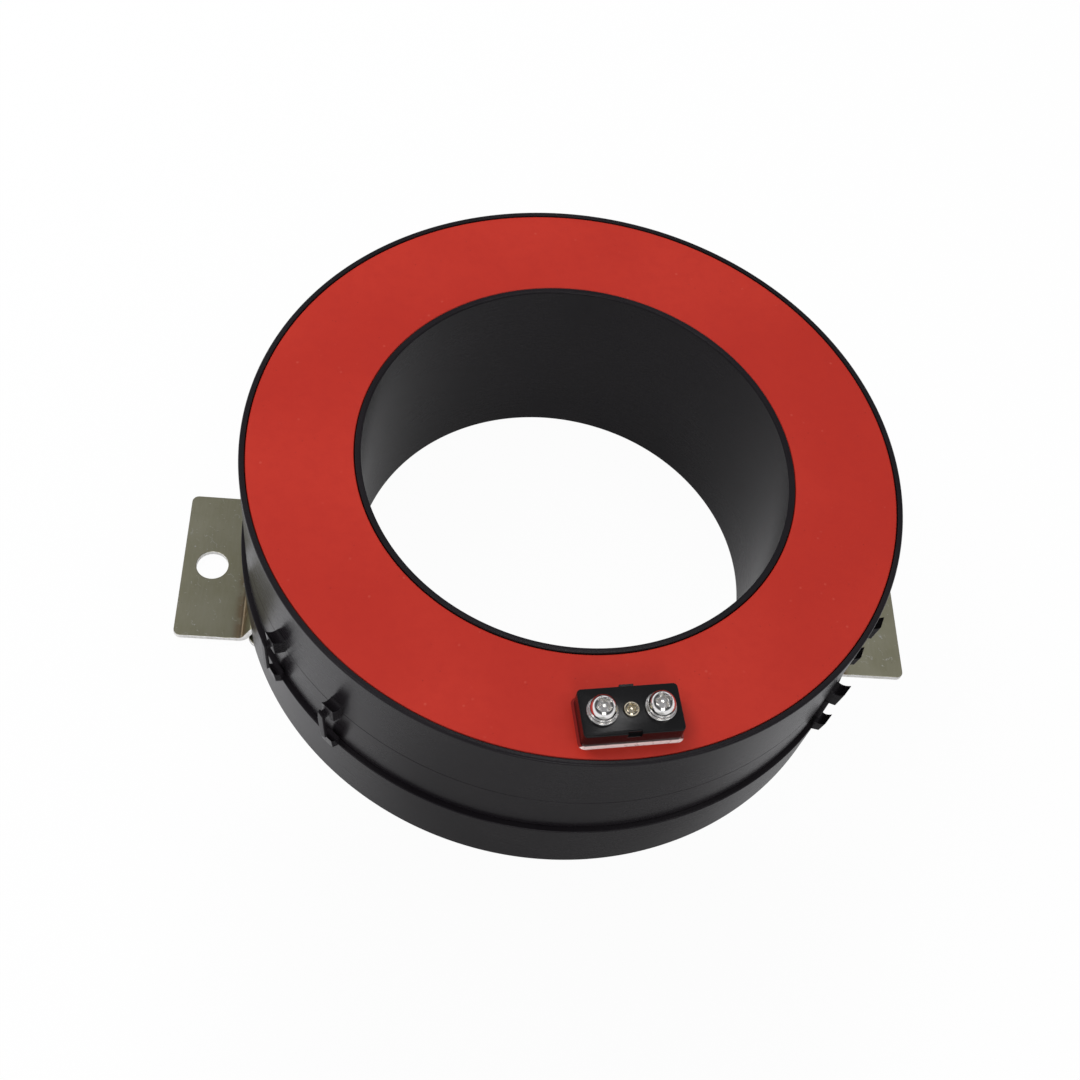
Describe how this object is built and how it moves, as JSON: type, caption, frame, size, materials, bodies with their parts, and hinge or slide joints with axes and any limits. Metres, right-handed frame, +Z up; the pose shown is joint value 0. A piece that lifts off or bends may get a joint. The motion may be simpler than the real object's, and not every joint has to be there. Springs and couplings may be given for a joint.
{
  "type": "ring-type current transformer",
  "caption": "Moulded ring current transformer with red cast resin top, round window for the conductors, screw terminal block and joggled steel mounting feet.",
  "frame": {"origin": "where the axis of the bore meets the mounting plane under the feet", "axes": "+Z up along the bore axis, X through the two feet, the terminal block on the -Y side"},
  "size_m": [0.28, 0.234, 0.0962],
  "materials": {
    "black_abs": "fine matte moulding with a slight sheen",
    "red_resin": "cast resin, satin, slightly dusty",
    "terminal_plastic": "glossy black moulding",
    "zinc_steel": "zinc-plated sheet with fine scratches",
    "nickel_screw": "bright nickel plate",
    "brass_insert": "turned brass",
    "core_steel": "edges of wound strip",
    "core_plastic": "plain natural moulding",
    "enamelled_copper": "enamelled wire",
    "winding_tape": "polyester tape",
    "lead_insulation": "plain wire covering"
  },
  "bodies": {
    "root": {"housing": "black_abs", "base_ring": "black_abs", "cast_resin": "red_resin", "toroidal_core": "core_steel", "core_tray": "core_plastic", "core_lid": "core_plastic", "secondary_winding": "enamelled_copper", "winding_tape": "winding_tape", "terminal_block": "terminal_plastic", "block_centre_screw": "nickel_screw", "terminal_insert_left": "brass_insert", "terminal_insert_right": "brass_insert", "terminal_washer_left": "nickel_screw", "terminal_washer_right": "nickel_screw", "spring_washer_left": "nickel_screw", "spring_washer_right": "nickel_screw", "terminal_screw_left": "nickel_screw", "terminal_screw_right": "nickel_screw", "lead_wire_left": "lead_insulation", "lead_wire_right": "lead_insulation", "foot_left": "zinc_steel", "foot_right": "zinc_steel", "clamp_plate_left": "zinc_steel", "clamp_plate_right": "zinc_steel", "clamp_screw_left_front": "zinc_steel", "clamp_screw_left_back": "zinc_steel", "clamp_screw_right_front": "zinc_steel", "clamp_screw_right_back": "zinc_steel"}
  },
  "joints": []
}
